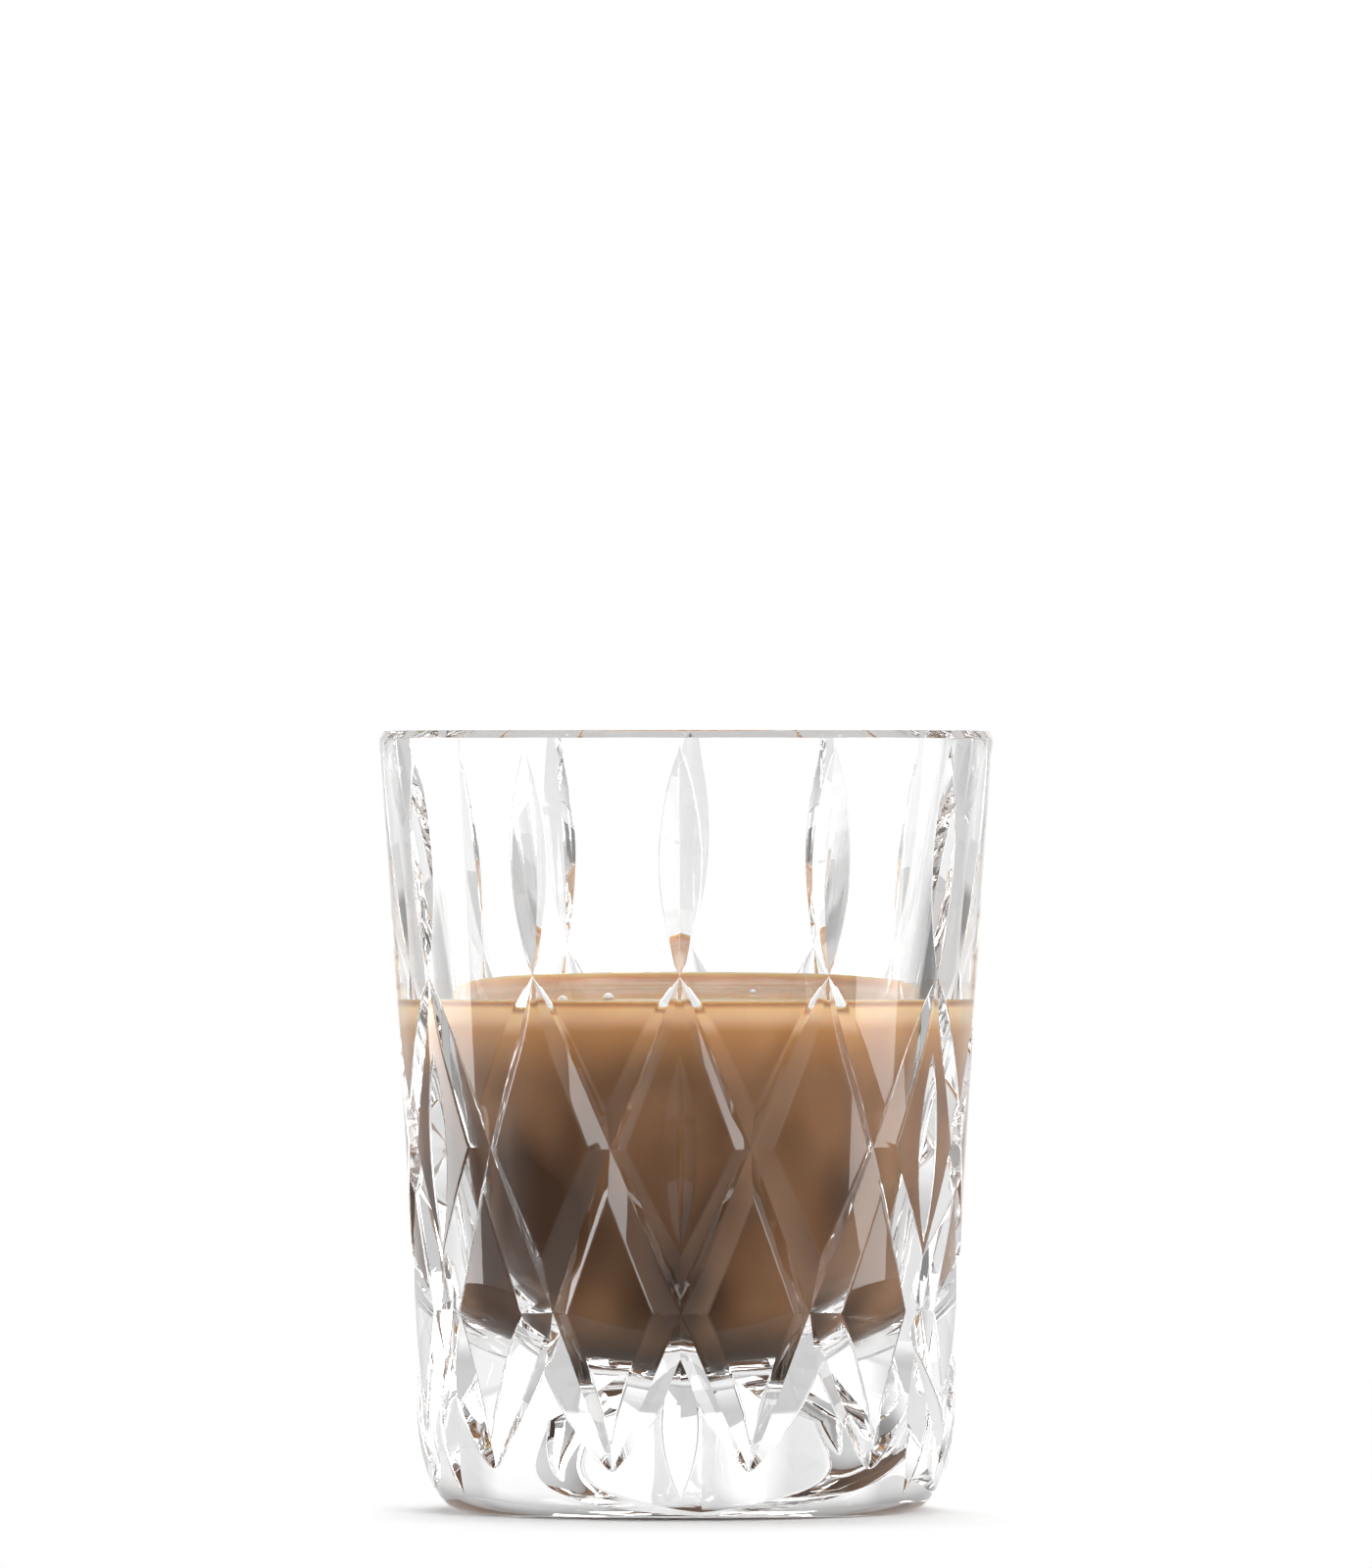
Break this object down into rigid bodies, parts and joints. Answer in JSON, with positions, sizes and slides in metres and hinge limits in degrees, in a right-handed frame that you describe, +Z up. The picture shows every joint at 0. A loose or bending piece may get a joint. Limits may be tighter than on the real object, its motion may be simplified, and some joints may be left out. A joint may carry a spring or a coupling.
{
  "type": "schnapps glass",
  "caption": "Small tapered tumbler of clear cut glass with a thick base, upright olive cuts above crossing V grooves, holding a brown cream liqueur.",
  "frame": {"origin": "middle of the face that the glass stands on, on its axis", "axes": "+Z up along the axis of the glass, -Y towards the viewer of the picture, +X to the viewer's right; a column with the extra upright cuts faces -Y"},
  "size_m": [0.0476, 0.0476, 0.06],
  "materials": {
    "clear_glass": "polished",
    "cream_liqueur": "gloss"
  },
  "bodies": {
    "root": {"tumbler": "clear_glass", "drink": "cream_liqueur"}
  },
  "joints": []
}
